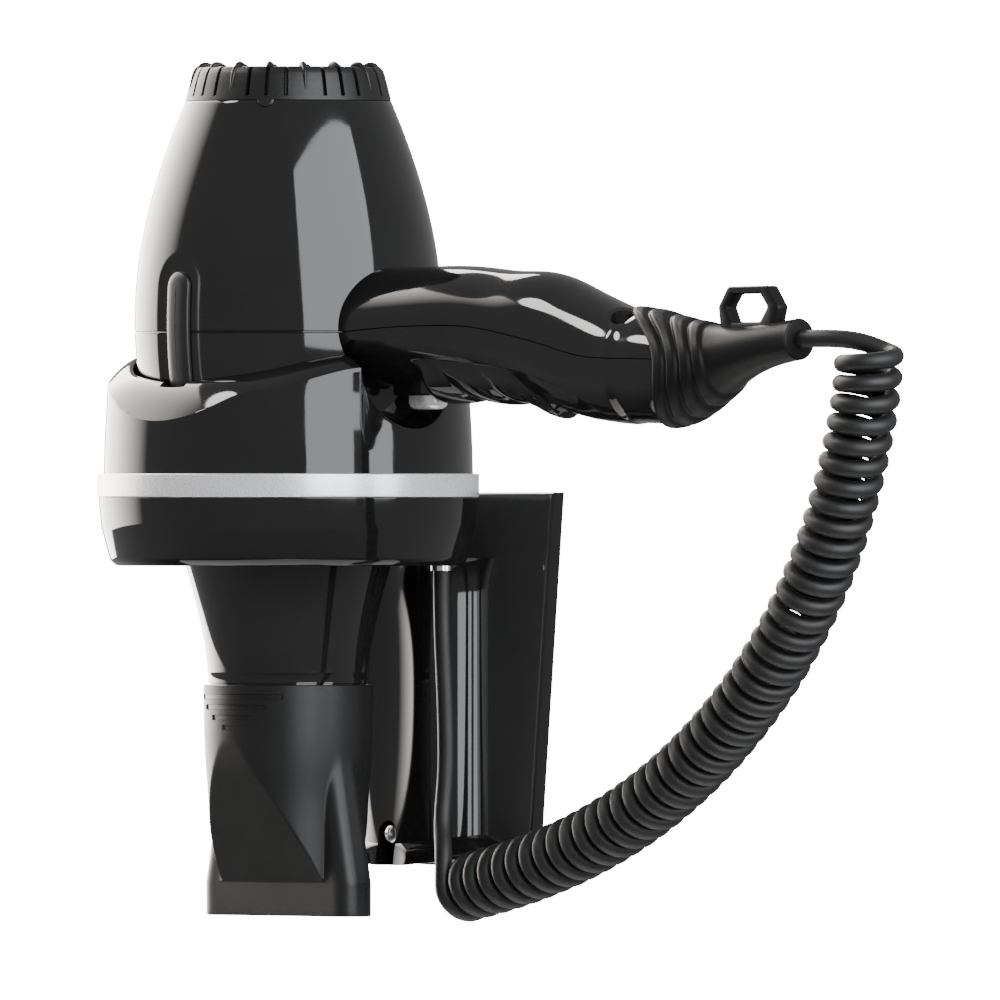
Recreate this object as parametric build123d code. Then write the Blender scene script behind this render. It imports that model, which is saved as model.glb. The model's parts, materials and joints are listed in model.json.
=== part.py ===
from build123d import *
import math
import os

# Wall holder with its docked hair dryer, millimetres. Built about the dryer's upright axis
# (local x=0, y=0) and moved at export so that the wall face's centre is the origin.
AXIS_TO_WALL = 64.0          # dryer axis to wall face
GAP = 0.3                    # air gap between pieces that move past each other

# dryer barrel, outside, (radius, z)
BARREL = [(24.0, -0.8), (25.2, 7.65), (30.6, 31.2), (34.6, 44), (38.8, 58), (42.3, 72),
          (44.6, 84), (45.7, 94), (46.05, 101.2), (45.9, 110), (45.15, 121.2), (44.1, 128.1),
          (41.4, 141), (37.35, 153.3), (30.9, 170.6)]
WALL = 2.2                   # housing wall
COLLAR_R = 24.0
SPIGOT_R = 23.4
COLLAR_Z = -4.05
SPIGOT_Z = -12.0
BARREL_TOP = 170.6

# handle and boot outline, (x, top z, bottom z, half width)
HANDLE = [(16, 119.5, 85.0, 19.6), (40, 120.4, 85.0, 19.4), (57, 120.6, 85.0, 18.9),
          (72, 120.9, 84.6, 18.2), (86, 120.4, 84.0, 17.5), (101, 119.2, 82.4, 16.9),
          (111, 119.0, 80.4, 16.5), (121, 117.2, 77.6, 16.2), (130, 114.0, 75.6, 15.9),
          (139, 110.8, 74.2, 15.5), (149, 109.0, 73.4, 15.2), (160, 108.2, 73.1, 14.8),
          (170, 106.2, 73.2, 14.0), (180, 104.6, 75.4, 12.6), (190, 103.8, 81.0, 10.4),
          (201, 103.8, 87.0, 8.5), (212, 104.6, 91.0, 7.2), (223.5, 105.9, 93.3, 6.3)]
SEAM = [(44, 101.2), (64, 102.5), (81, 102.9), (96, 102.4), (111, 100.1), (127, 96.8),
        (139, 94.0), (160, 92.9), (185, 91.9)]        # level on the barrel, then along the handle
BOOT_EDGE = [(151, 125), (154, 109.5), (168, 100), (172.5, 90), (169, 80), (163, 73), (158, 65)]
BOOT_RIB_PITCH = 4.9
LOOP_OUT = [(186.5, 0, 99), (188.6, 0, 108.6), (191.4, 0, 115.2), (211.5, 0, 115.8),
            (215.0, 0, 108.6), (213.5, 0, 99)]
LOOP_HOLE = [(191.3, 0, 108.9), (193.6, 0, 113.1), (206.3, 0, 113.3), (209.0, 0, 109.2),
             (206.6, 0, 104.9), (193.4, 0, 104.9)]
SCREW_X = 147.0              # screw hole on top of the handle
SCOOP_HALF = 9.3             # shallow recess round each side strip
SCOOP_DEPTH = 0.6
RIDGES = [(76, 84.6, 4.7), (88.5, 84.6, 4.6), (101.5, 84.4, 4.3)]

# nozzle, (z, radius of the round part, half thickness of the wedge)
NOZZLE = [(-4.35, 25.5, 30.0), (-20.7, 25.2, 25.3), (-28.8, 24.8, 23.5), (-37.8, 24.1, 20.1),
          (-46.5, 23.7, 16.2), (-55.8, 23.4, 11.1), (-63.7, 23.2, 6.5)]
MOUTH_Z = -73.7
MOUTH_HALF_LENGTH = 32.0
MOUTH_HALF_THICK = 6.5
NOZZLE_WALL = 1.8

# holder
RIM = [(-70, 62.0), (-58, 74.6), (-54.3, 78.6), (-50.5, 82.9), (-46.8, 86.1), (-41.7, 88.0),
       (-30.4, 91.5), (-22.9, 93.6), (-12, 94.7), (0, 95.0), (70, 95.0)]
SHELL_R = 55.4
SHELL_TOP_R = 54.3
SHELL_IN_R = 47.6
SHELL_FOOT_Z = 66.0
BAND_R = 57.2
BAND_Z = (51.8, 58.9)
SPIGOT_IN = 52.2
SPIGOT_OUT = 54.8
SKIRT = [(57.0, 51.8), (56.2, 43.0), (53.5, 32.9), (52.0, 31.3)]
SKIRT_WALL = 3.0
SKIRT_OPENING_R = 36.5
NOTCH_HALF = 18.6
NOTCH_Z = 92.4
PLATE_T = 5.0
PLATE_TOP = (53.0, 53.3)
PLATE_FOOT = (43.7, -50.4)
PLATE_CHIN_Z = -59.0
COLUMN_HALF = (26.4, 21.5)
CHIN_HALF = (30.0, 22.6)
SCOOP = [(40.8, 33.0), (43.0, 12.0), (43.5, -10.0), (42.9, -30.0), (40.6, -53.0), (39.0, -64.0)]
SCREW_Z = -49.5
SCREW_HEAD_R = 2.75
RING_SCREW_ANGLES = (-120.0, -60.0, 15.0, 165.0)
RING_SCREW_R = 47.4
WALL_HOLES = (30.0, 54.0)    # spacing along x and z
WALL_HOLE_R = 2.3
WALL_HOLE_MID_Z = -8.0

# rear cap
CAP = [(30.9, 170.6), (30.1, 174.0), (29.0, 178.0), (28.2, 180.0), (26.9, 180.8), (0, 180.8)]
CAP_WALL = 1.8
SLOT_STEP = 11.25
TAB_ANGLE = -56.25

# cord
CORD_D = 5.3
COIL_D = 21.0
GLAND = (31.5, 33.5)
COIL_ROUTE = [(251.6, 0.0, 101.5), (251.3, 0.1, 88.0), (247.4, 0.6, 72.0), (240.6, 1.7, 54.5),
              (231.2, 3.3, 36.5), (217.7, 5.5, 18.0), (201.5, 8.2, 1.0), (180.7, 11.6, -15.6),
              (158.3, 15.3, -29.6), (133.9, 19.3, -41.4), (107.8, 23.6, -50.9),
              (81.8, 27.9, -58.0), (58.4, 31.8, -62.8), (38.0, 35.0, -66.4)]
HOLDER_LEAD = [(31.5, 33.5, 29.8), (31.5, 33.5, 14.0), (33.0, 34.0, -9.0), (34.2, 34.4, -32.0),
               (33.4, 34.9, -50.0), (34.6, 35.4, -64.0)]
DRYER_LEAD = [(223.5, 0.0, 99.6), (232.0, 0.0, 99.6), (246.0, 0.0, 100.6)]

PARTS = {}


def revolved(points):
    """Solid turned about the dryer axis from a closed (radius, z) outline."""
    outline = [(r, 0, z) for r, z in points]
    return revolve(make_face(Polyline(outline, close=True)), Axis.Z)


def barrel_volume(grow):
    """The barrel's outside grown by a distance, filled to the axis."""
    pts = [(r + grow, 0, z) for r, z in BARREL]
    curve = Spline(pts)
    foot, top = pts[0], pts[-1]
    rest = Polyline(top, (0, 0, top[2]), (0, 0, foot[2]), foot)
    return revolve(make_face(curve + rest), Axis.Z)


def barrel_radius(z):
    """Radius of the barrel's outside, read from its outline."""
    for (r0, z0), (r1, z1) in zip(BARREL, BARREL[1:]):
        if z0 <= z <= z1:
            return r0 + (r1 - r0) * (z - z0) / (z1 - z0)
    return BARREL[0][0] if z < BARREL[0][1] else BARREL[-1][0]


def oval(x, top, bottom, half, inset):
    """Rounded section of the handle at one x."""
    a, b, mid = half - inset, (top - bottom) / 2 - inset, (top + bottom) / 2
    turns = [math.pi * (k / 8 - 0.5) for k in range(16)]
    points = [(x, a * math.cos(t), mid + b * math.sin(t)) for t in turns]
    return make_face(Spline(points, periodic=True))


def handle_volume(inset, first, last):
    """Handle and boot as one filled shape between two of its sections."""
    return loft([oval(x, t, b, h, inset) for x, t, b, h in HANDLE[first:last]])


def region_above_seam(top):
    """Everything above the seam, through all y."""
    pts = [(x, 0, z) for x, z in SEAM]
    level = (-60, 0, pts[0][2])
    edge = Polyline(level, pts[0]) + Spline(pts)
    side = Polyline(pts[-1], (pts[-1][0], 0, top), (level[0], 0, top), level)
    return extrude(make_face(edge + side), amount=80, both=True, dir=(0, 1, 0))


def region_beyond(shift):
    """Everything on the boot's side of its edge on the handle."""
    pts = [(x + shift, 0, z) for x, z in BOOT_EDGE]
    side = Polyline(pts[-1], (260, 0, pts[-1][2]), (260, 0, pts[0][2]), pts[0])
    return extrude(make_face(Spline(pts) + side), amount=40, both=True, dir=(0, 1, 0))


def tube(route, diameter):
    """Straight runs joined by tangent arcs; returns the solid and its centreline."""
    radii = []
    for a, b, c in zip(route, route[1:], route[2:]):
        v, w = Vector(*b) - Vector(*a), Vector(*c) - Vector(*b)
        turn = math.radians(v.get_angle(w))
        radii.append(0.45 * min(v.length, w.length) / math.tan(turn / 2))
    print("bend radii", [round(r, 1) for r in radii])
    path = FilletPolyline(*route, radius=radii)
    start = Plane(origin=path @ 0, z_dir=path % 0)
    solid = sweep(start * Circle(diameter / 2), path=path)
    print("tube", round(path.length, 1), round(solid.volume / (math.pi * diameter ** 2 / 4), 1))
    return solid


def slab(x0, x1, y0, y1, z0, z1):
    """Box between two corners."""
    return Pos((x0 + x1) / 2, (y0 + y1) / 2, (z0 + z1) / 2) * Box(x1 - x0, y1 - y0, z1 - z0)


def pin(x, y, z0, z1, r):
    """Upright cylinder between two heights."""
    return Pos(x, y, (z0 + z1) / 2) * Cylinder(r, z1 - z0)


def pin_y(x, z, y0, y1, r):
    """Cylinder along y."""
    return Pos(x, (y0 + y1) / 2, z) * Rot(90, 0, 0) * Cylinder(r, y1 - y0)


def pill(half, z0, z1, side):
    """Upright rounded bar through the barrel wall on one side of it (side is -1 or 1)."""
    bar = slab(-half, half, 20, 60, z0 + half, z1 - half)
    bar += pin_y(0, z0 + half, 20, 60, half) + pin_y(0, z1 - half, 20, 60, half)
    return bar if side > 0 else mirror(bar, Plane.XZ)


def dryer_shells():
    """Barrel and handle in two hollow shells that meet at the seam."""
    outer = barrel_volume(0) + handle_volume(0, 0, 13)
    for side in (-1, 1):
        outer -= pill(SCOOP_HALF, 74, 124.6, side) - barrel_volume(-SCOOP_DEPTH)
    for x, z, r in RIDGES:
        outer += Pos(x, 0, z) * Rot(0, 0, 24) * scale(Sphere(1), by=(r * 1.15, 13.5, r))
    outer += slab(50.8, 71.2, -7.6, 7.6, 82.2, 90)
    hollow = barrel_volume(-WALL) + handle_volume(WALL, 1, 13)
    upper = region_above_seam(190)
    shells = [(outer & upper) - hollow, (outer - upper) - hollow]
    rear, front = [shell - region_beyond(0) for shell in shells]
    front += revolved([(COLLAR_R, COLLAR_Z), (COLLAR_R, -0.8), (COLLAR_R - WALL, -0.8),
                       (SPIGOT_R - WALL, SPIGOT_Z), (SPIGOT_R, SPIGOT_Z), (SPIGOT_R, COLLAR_Z)])
    front -= slab(53.0, 69.0, -5.5, 5.5, 75, 92)
    front -= slab(51.0, 71.0, -7.5, 7.5, 87.2, 92)
    inside = handle_volume(WALL / 2, 8, 13)
    pilot = pin(SCREW_X, 0, 82, 101, 1.5)
    head_hole = pin(SCREW_X, 0, 100, 120, 3.2)
    front += (pin(SCREW_X, 0, 60, 93.4, 4.8) - pilot) & inside
    rear += (pin(SCREW_X, 0, 93.4, 120, 4.8) - pilot - head_hole) & inside
    PARTS["rear_housing"] = rear - head_hole
    PARTS["front_housing"] = front


def side_strips():
    """Inlaid bars on the two sides of the barrel."""
    skin = barrel_volume(0.8) - barrel_volume(-SCOOP_DEPTH)
    PARTS["side_strip_front"] = skin & pill(5.0, 82.2, 119.3, -1)
    PARTS["side_strip_back"] = skin & pill(5.0, 82.2, 119.3, 1)


def rear_cap():
    """Intake cap: slotted dome with radial fins, an index tab and a plug-in skirt."""
    cap = revolved(CAP + [(0, 170.6)])
    cap -= revolved([(r - CAP_WALL, z) for r, z in CAP[:3]] + [(26.0, 179.2), (0, 179.2), (0, 170.6)])
    cap += revolved([(28.4, 165.5), (28.4, 170.6), (30.0, 170.6), (30.0, 172.5), (26.6, 172.5),
                     (26.6, 165.5)])
    slots, fins = [], []
    for k in range(32):
        turn = Rot(0, 0, SLOT_STEP * (k + 1))
        if k % 4 != 0:
            slots.append(turn * slab(15.0, 32.0, -0.45, 0.45, 173.0, 182.0))
        if k % 2 == 0:
            long_fin = k % 4 == 0
            fins.append(turn * Pos(17.0, 0, 180.9) * Rot(0, 90, 0) * round_bar(0.75, 18.8))
            if long_fin:
                fins.append(turn * Pos(28.3, 0, 178.4) * Rot(0, -14, 0) * Cylinder(0.7, 6.5))
    for slot in slots:
        cap -= slot
    for fin in fins:
        cap += fin
    tab = Pos(32.2, 0, 170.7) * Rot(0, 90, 0) * Cylinder(1.7, 0.8)
    cap += Rot(0, 0, TAB_ANGLE) * (tab + slab(29.5, 32.6, -1.2, 1.2, 170.7, 171.9))
    PARTS["rear_cap"] = cap


def round_bar(r, length):
    """Bar with ball ends along z."""
    bar = Cylinder(r, length - 2 * r)
    return bar + Pos(0, 0, length / 2 - r) * Sphere(r) + Pos(0, 0, r - length / 2) * Sphere(r)


def filter_screen():
    """Perforated lint screen inside the cap."""
    disc = pin(0, 0, 173.0, 173.8, 26.4) - pin(0, 0, 172, 175, 1.5)
    for ring in range(1, 6):
        for k in range(6 * ring):
            disc -= Rot(0, 0, 60 * k / ring) * pin(4.6 * ring, 0, 172, 175, 1.6)
    PARTS["filter_screen"] = disc + (pin(0, 0, 172.6, 173.8, 26.6) - pin(0, 0, 172, 175, 25.4))


def airflow_parts():
    """Fan duct with its vanes, motor, fan and shaft."""
    duct = revolved([(31.5, 161), (31.5, 118), (33.2, 118), (33.2, 104), (31.7, 104), (31.7, 116),
                     (30.0, 118), (30.0, 161)])
    flange = barrel_volume(-WALL) & (pin(0, 0, 143, 145, 50) - pin(0, 0, 140, 150, 31))
    ring = pin(0, 0, 120, 142, 15.6) - pin(0, 0, 110, 150, 14.0)
    duct += flange + ring
    for k in range(6):
        duct += Rot(0, 0, 60 * k) * slab(15.0, 30.6, -0.7, 0.7, 120, 142)
    PARTS["fan_duct"] = duct
    can = pin(0, 0, 110, 144, 14.0) + pin(0, 0, 107.5, 110, 5.0) + pin(0, 0, 144, 145.5, 4.0)
    PARTS["motor"] = can - pin(0, 0, 108.5, 150, 1.03)
    hub = revolved([(0, 147.5), (10.5, 147.5), (10.5, 154), (8.0, 159), (4.0, 161), (0, 161)])
    for k in range(9):
        blade = Pos(18.5, 0, 153) * Rot(38, 0, 0) * Box(19.5, 13.0, 1.2)
        hub += Rot(0, 0, 40 * k) * blade
    hub &= pin(0, 0, 147.5, 161, 29.2)
    PARTS["fan"] = hub - pin(0, 0, 140, 170, 1.0)
    PARTS["motor_shaft"] = pin(0, 0, 108.8, 160, 1.0)


def heater_parts():
    """Mica cross, wound element, mica sleeve, thermostat and outlet grille."""
    PARTS["mica_sleeve"] = revolved([(24.3, 17), (27.8, 31), (34.0, 55), (34.0, 112), (33.2, 112),
                                     (33.2, 55.2), (27.0, 31.2), (23.5, 17)])
    leaf = Polyline((23.3, 0, 18), (26.8, 0, 31.3), (33.15, 0, 55.5), (33.15, 0, 100), (-33.15, 0, 100),
                    (-33.15, 0, 55.5), (-26.8, 0, 31.3), (-23.3, 0, 18), close=True)
    plate = extrude(make_face(leaf), amount=0.5, both=True, dir=(0, 1, 0))
    cross = plate + Rot(0, 0, 90) * plate
    coil = slab(26.3, 27.7, -9.7, -8.3, 50, 92)
    for k in range(7):
        z = 50 + 7 * k
        coil += Pos(0, 0, z) * Torus(28.2, 0.8)
        for turn in range(4):
            cross -= Rot(0, 0, 90 * turn) * slab(26.9, 29.5, -1, 1, z - 1.2, z + 1.2)
    PARTS["heater_former"] = cross
    PARTS["heater_coil"] = coil
    PARTS["thermostat"] = slab(4, 15, 0.5, 5.0, 26, 38) + pin_y(9.5, 32, 5.0, 6.2, 3.4)
    grille = barrel_volume(-WALL) & (pin(0, 0, 2, 5, 40) - pin(0, 0, 1, 6, 21.0))
    for r in (7.0, 14.0):
        grille += pin(0, 0, 2.5, 4.5, r + 0.6) - pin(0, 0, 1, 6, r - 0.6)
    for k in range(3):
        grille += Rot(0, 0, 60 * k) * slab(-21.5, 21.5, -0.6, 0.6, 2.5, 4.5)
    PARTS["outlet_grille"] = grille


def handle_parts():
    """Press button, its spring and switch, suppressor, cord clamp and screw."""
    button = slab(53.3, 68.7, -5.2, 5.2, 77.0, 88.0)
    button = fillet(button.edges().group_by(Axis.Z)[0], 1.6)
    button += slab(51.4, 70.6, -7.1, 7.1, 87.4, 89.0)
    button += pin(61, 0, 89.0, 91.0, 1.4)
    PARTS["power_button"] = button
    PARTS["button_spring"] = spring(61, 89.0, 98.0)
    body = slab(52, 70, -4.5, 4.5, 98, 108) + pin(66.5, 0, 92.2, 98, 1.1)
    PARTS["microswitch"] = body
    PARTS["suppressor"] = slab(84, 108, -7, 7, 96, 110)
    clamp = slab(128, 136, -8, 8, 86, 97) - Pos(132, 0, 91) * Rot(0, 90, 0) * Cylinder(CORD_D / 2, 20)
    PARTS["cord_clamp"] = clamp
    PARTS["handle_screw"] = pin(SCREW_X, 0, 100, 102.2, 2.8) + pin(SCREW_X, 0, 84, 100, 1.5)


def spring(x, z0, z1):
    """Coil spring drawn as stacked rings joined by a strip."""
    turns = 5
    wire = 0.35
    step = (z1 - z0 - 2 * wire) / (turns - 1)
    body = slab(x + 2.6, x + 3.0, -0.3, 0.3, z0 + wire, z1 - wire)
    for k in range(turns):
        body += Pos(x, 0, z0 + wire + step * k) * Torus(2.8, wire)
    return body


def boot():
    """Rubber boot moulded on the cord: plug, ribs, tapering horn, flat end and hanging loop."""
    shape = handle_volume(0, 8, 18) & region_beyond(0.03)
    shape += (handle_volume(WALL + 0.2, 9, 14) & region_beyond(-3.0)) - region_beyond(1.0)
    for k in range(4):
        shift = BOOT_RIB_PITCH * (k + 0.55)
        groove = region_beyond(shift) - region_beyond(shift + 1.3)
        shape -= groove - handle_volume(0.9, 8, 18)
    outline = Polyline(LOOP_OUT, close=True)
    loop = extrude(make_face(outline), amount=2.0, both=True, dir=(0, 1, 0))
    shape += fillet(loop.edges().filter_by(Axis.Y).group_by(Axis.Z)[-1], 1.5)
    hole = Polyline(LOOP_HOLE, close=True)
    PARTS["cord_boot"] = shape - extrude(make_face(hole), amount=4.0, both=True, dir=(0, 1, 0))


def nozzle_volume(inset, extra):
    """Filled nozzle: a round socket flattened by two wedge faces into a wide mouth."""
    side = [(r - inset, 0, z) for z, r, half in NOZZLE]
    side[0] = (side[0][0], 0, side[0][2] + extra)
    foot = (0, 0, side[-1][2])
    body = revolve(make_face(Polyline(side + [foot, (0, 0, side[0][2])], close=True)), Axis.Z)
    flank = [(0, half - inset, z) for z, r, half in NOZZLE[1:]]
    back = [(0, -y, z) for x, y, z in reversed(flank)]
    top = [(0, -40, -18.0), (0, -40, 10), (0, 40, 10), (0, 40, -18.0)]
    wedge = extrude(make_face(Polyline(flank + back + top, close=True)), amount=40, both=True,
                    dir=(1, 0, 0))
    body &= wedge
    r = MOUTH_HALF_THICK - inset
    long_half, short_half = MOUTH_HALF_LENGTH - inset, 24.2 - inset
    low = Pos(0, 0, NOZZLE[-1][0]) * SlotOverall(2 * long_half, 2 * r)
    high = Pos(0, 0, -24.0) * SlotOverall(2 * short_half, 2 * r)
    body += loft([low, high])
    body += extrude(low, amount=-(NOZZLE[-1][0] - MOUTH_Z + extra))
    return body


def nozzle():
    """Concentrator nozzle with four shortening grooves on each wide side."""
    shape = nozzle_volume(0, 0) - nozzle_volume(NOZZLE_WALL, 1.0)
    for k, half_angle in enumerate((42, 30, 18, 6)):
        z = -7.9 - 3.1 * k
        groove = pin(0, 0, z - 0.7, z + 0.7, 26) - pin(0, 0, z - 1, z + 1, 25.0)
        for side in (-90, 90):
            wedge = Polyline((0, 0), (60 * math.cos(math.radians(side - half_angle)),
                                      60 * math.sin(math.radians(side - half_angle))),
                             (60 * math.cos(math.radians(side + half_angle)),
                              60 * math.sin(math.radians(side + half_angle))), close=True)
            shape -= groove & extrude(Pos(0, 0, z - 2) * make_face(wedge), amount=4)
    PARTS["nozzle"] = shape


def holder_body():
    """Front moulding: wall plate, column with its scooped front, chin and the ring's skirt."""
    half_top, z_top = PLATE_TOP
    half_low, z_low = PLATE_FOOT
    outline = Polyline((-half_low, 0, z_low), (-half_top, 0, z_top), (half_top, 0, z_top),
                       (half_low, 0, z_low))
    foot = ThreePointArc((half_low, 0, z_low), (0, 0, PLATE_CHIN_Z), (-half_low, 0, z_low))
    face = make_face(outline + foot)
    wall_y = AXIS_TO_WALL
    plate = Pos(0, wall_y, 0) * extrude(face, amount=PLATE_T, dir=(0, -1, 0))
    under = Pos(0, wall_y, 0) * extrude(face, amount=40, dir=(0, -1, 0))
    front_y = wall_y - PLATE_T
    column = Pos(0, front_y, 0) * extrude(Ellipse(*COLUMN_HALF), amount=53, both=True)
    chin = Pos(0, front_y, -60) * extrude(Ellipse(*CHIN_HALF), amount=10)
    chin = fillet(chin.edges().group_by(Axis.Z)[-1], 3.0)
    column = (column + Pos(0, front_y, -55) * extrude(Ellipse(*COLUMN_HALF), amount=8) + chin) & under
    scoop = [(r, 0, z) for r, z in SCOOP]
    scoop_face = make_face(Spline(scoop) + Polyline(scoop[-1], (0, 0, -64), (0, 0, 33), scoop[0]))
    column -= revolve(scoop_face, Axis.Z)
    inner = [(r - SKIRT_WALL, z) for r, z in SKIRT[:2]] + [(50.6, 34.3)]
    skirt = revolved(SKIRT + [(SKIRT_OPENING_R, 31.3), (SKIRT_OPENING_R, 34.3)] + inner[::-1])
    bore = revolved([(0, 34.3), (50.6, 34.3)] + inner[::-1][1:] + [(54, 70), (0, 70)])
    bore += pin(0, 0, 30, 36, SKIRT_OPENING_R)
    body = (plate + column + skirt) - bore - revolved([(0, 51.8), (60, 51.8), (60, 70), (0, 70)])
    body += plate - pin(0, 0, 40, 60, 58)
    cavity = Pos(0, front_y, -54) * extrude(Ellipse(COLUMN_HALF[0] - 3, COLUMN_HALF[1] - 3), amount=84)
    cavity &= slab(-30, 30, 30, front_y, -54, 30)
    scoop_wall = [(r + 3, 0, z) for r, z in SCOOP]
    keep = make_face(Spline(scoop_wall) + Polyline(scoop_wall[-1], (0, 0, -64), (0, 0, 33), scoop_wall[0]))
    cavity -= revolve(keep, Axis.Z)
    cavity += slab(-23.4, 23.4, front_y, wall_y + 1, -50, 30)
    body -= cavity - slab(-7, 7, 40, 48, -58, -41)
    recess = slab(-3.8, 3.8, 30, 44.9, -70, SCREW_Z) + pin_y(0, SCREW_Z, 30, 44.9, 3.8)
    body -= recess + pin_y(0, SCREW_Z, 40, 50, 1.6)
    body -= pin(GLAND[0], GLAND[1], 30, 36, 3.0)
    for angle in RING_SCREW_ANGLES:
        place = Rot(0, 0, angle) * Pos(RING_SCREW_R, 0, 0)
        body -= place * (pin(0, 0, 30, 36, 1.7) + pin(0, 0, 31, 32.8, 3.1))
    PARTS["holder_body"] = body


def ring_parts():
    """Upper shell with its sloping rim, trim band, dock liner and the screws that join them."""
    wall = [(SPIGOT_OUT, BAND_Z[0]), (SPIGOT_OUT, BAND_Z[1]), (SHELL_R, BAND_Z[1]),
            (SHELL_R - 0.4, 72), (SHELL_TOP_R, 84), (SHELL_TOP_R, 100), (SHELL_IN_R, 100),
            (SHELL_IN_R, 94), (47.4, 88), (46.4, 82), (45.0, 76), (42.3, SHELL_FOOT_Z),
            (SPIGOT_IN, SHELL_FOOT_Z), (SPIGOT_IN, BAND_Z[0])]
    shell = revolved(wall)
    for angle in RING_SCREW_ANGLES:
        place = Rot(0, 0, angle) * Pos(RING_SCREW_R, 0, 0)
        shell += place * (pin(0, 0, 34.3, 67, 2.9) - pin(0, 0, 30, 48, 1.4))
    rim = [(0, y, z) for y, z in RIM]
    above = make_face(Spline(rim) + Polyline(rim[-1], (0, 70, 120), (0, -70, 120), rim[0]))
    shell -= extrude(above, amount=70, both=True, dir=(1, 0, 0))
    notch = slab(30, 70, -NOTCH_HALF, NOTCH_HALF, NOTCH_Z, 110)
    notch += Pos(50, 0, NOTCH_Z) * Rot(0, 90, 0) * Cylinder(NOTCH_HALF, 40)
    shell -= notch
    shell -= slab(-5.6, 5.6, -51.5, -44, 81.9, 110) + slab(-5.6, 5.6, 44, 51.5, 81.9, 110)
    PARTS["ring_shell"] = shell
    PARTS["trim_band"] = revolved([(SPIGOT_OUT, BAND_Z[0]), (BAND_R, BAND_Z[0]), (BAND_R, BAND_Z[1]),
                                   (SPIGOT_OUT, BAND_Z[1])])
    seat = [(barrel_radius(z) + GAP + 0.1, z) for z in (46, 51, 56, 61, 66)]
    PARTS["dock_liner"] = revolved(seat + [(44.2, 66), (44.2, 60), (41.4, 50), (41.4, 34.3),
                                           (38.6, 34.3), (38.6, 46)])
    screw = pin(RING_SCREW_R, 0, 31.5, 32.8, 2.9) + pin(RING_SCREW_R, 0, 32.8, 46, 1.4)
    screws = [Rot(0, 0, angle) * screw for angle in RING_SCREW_ANGLES]
    PARTS["ring_screws"] = screws[0] + screws[1:]


def wall_parts():
    """Hidden steel bracket, terminal block, cover screw and cord gland."""
    wall_y = AXIS_TO_WALL
    plate = slab(-22.5, 22.5, wall_y - 2, wall_y, -47, 28)
    for x in (-WALL_HOLES[0] / 2, WALL_HOLES[0] / 2):
        for z in (-WALL_HOLES[1] / 2, WALL_HOLES[1] / 2):
            plate -= pin_y(x, WALL_HOLE_MID_Z + z, 55, 70, WALL_HOLE_R)
    plate -= pin_y(0, 20, 55, 70, 6)
    plate += slab(-6, 6, 50, wall_y - 1, -46, -44.5)
    plate += slab(-6, 6, 48.2, 50.2, -53.5, -44.5)
    PARTS["wall_bracket"] = plate - pin_y(0, SCREW_Z, 40, 55, 1.4)
    block = slab(-14, 14, 52, wall_y - 2, -12, 8)
    for x in (-9, 0, 9):
        block -= pin_y(x, -2, 50, 56, 2.2)
    PARTS["terminal_block"] = block
    head = pin_y(0, SCREW_Z, 42.9, 44.9, SCREW_HEAD_R)
    head = fillet(head.edges().group_by(Axis.Y)[0], 0.8)
    head -= slab(-0.35, 0.35, 42, 43.9, SCREW_Z - 1.6, SCREW_Z + 1.6)
    head -= slab(-1.6, 1.6, 42, 43.9, SCREW_Z - 0.35, SCREW_Z + 0.35)
    PARTS["cover_screw"] = head + pin_y(0, SCREW_Z, 44.9, 53, 1.4)
    x, y = GLAND
    PARTS["cord_gland"] = pin(x, y, 29.8, 31.3, 3.3) + pin(x, y, 31.3, 38, 2.95) - pin(x, y, 29, 40, 1.8)
    PARTS["gland_nut"] = Pos(x, y, 34.3) * extrude(RegularPolygon(4.6, 6), amount=2.6) \
        - pin(x, y, 30, 40, 2.95)


def cords():
    """Curly section as one tube of its outer size, and the straight lead at each end."""
    coil = tube(COIL_ROUTE, COIL_D)
    PARTS["cord_coil"] = coil
    PARTS["cord_lead_holder"] = tube(HOLDER_LEAD, CORD_D) - coil
    PARTS["cord_lead_dryer"] = tube(DRYER_LEAD, CORD_D) - coil


def main():
    """Build every piece, move it to the shared frame and write it."""
    os.makedirs("parts", exist_ok=True)
    for make in (dryer_shells, side_strips, rear_cap, filter_screen, airflow_parts, heater_parts,
                 handle_parts, boot, nozzle, holder_body, ring_parts, wall_parts, cords):
        make()
    for name, shape in PARTS.items():
        export_step(Pos(0, -AXIS_TO_WALL, 0) * shape, f"parts/{name}.step")


main()
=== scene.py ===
import json
import math

import bpy
import numpy as np
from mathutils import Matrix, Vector


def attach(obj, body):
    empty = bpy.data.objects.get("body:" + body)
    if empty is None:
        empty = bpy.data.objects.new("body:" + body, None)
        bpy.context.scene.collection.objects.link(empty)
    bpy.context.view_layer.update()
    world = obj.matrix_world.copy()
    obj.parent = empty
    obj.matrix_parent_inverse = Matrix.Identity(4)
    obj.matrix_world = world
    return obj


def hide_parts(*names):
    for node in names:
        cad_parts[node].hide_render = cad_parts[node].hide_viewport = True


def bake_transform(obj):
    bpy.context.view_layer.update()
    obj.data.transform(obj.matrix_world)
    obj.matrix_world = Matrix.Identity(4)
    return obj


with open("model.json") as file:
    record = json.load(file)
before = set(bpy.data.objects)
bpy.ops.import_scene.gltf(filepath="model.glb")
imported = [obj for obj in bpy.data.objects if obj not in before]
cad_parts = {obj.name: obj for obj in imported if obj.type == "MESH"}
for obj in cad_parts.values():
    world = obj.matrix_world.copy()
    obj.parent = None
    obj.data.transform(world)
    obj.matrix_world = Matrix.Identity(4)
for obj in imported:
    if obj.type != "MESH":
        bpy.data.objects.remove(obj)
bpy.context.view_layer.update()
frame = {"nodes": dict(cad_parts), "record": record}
NODES = frame["nodes"]

MM = 0.001
AXIS_Y = -64.0  # the dryer's axis is this far in front of the wall, mm
VIEW_TURN = math.radians(46)  # the view's turn about the upright axis
SHARP_EDGE = math.radians(40)  # faces that meet more steeply than this keep a crisp edge


# ---------- meshes

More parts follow.
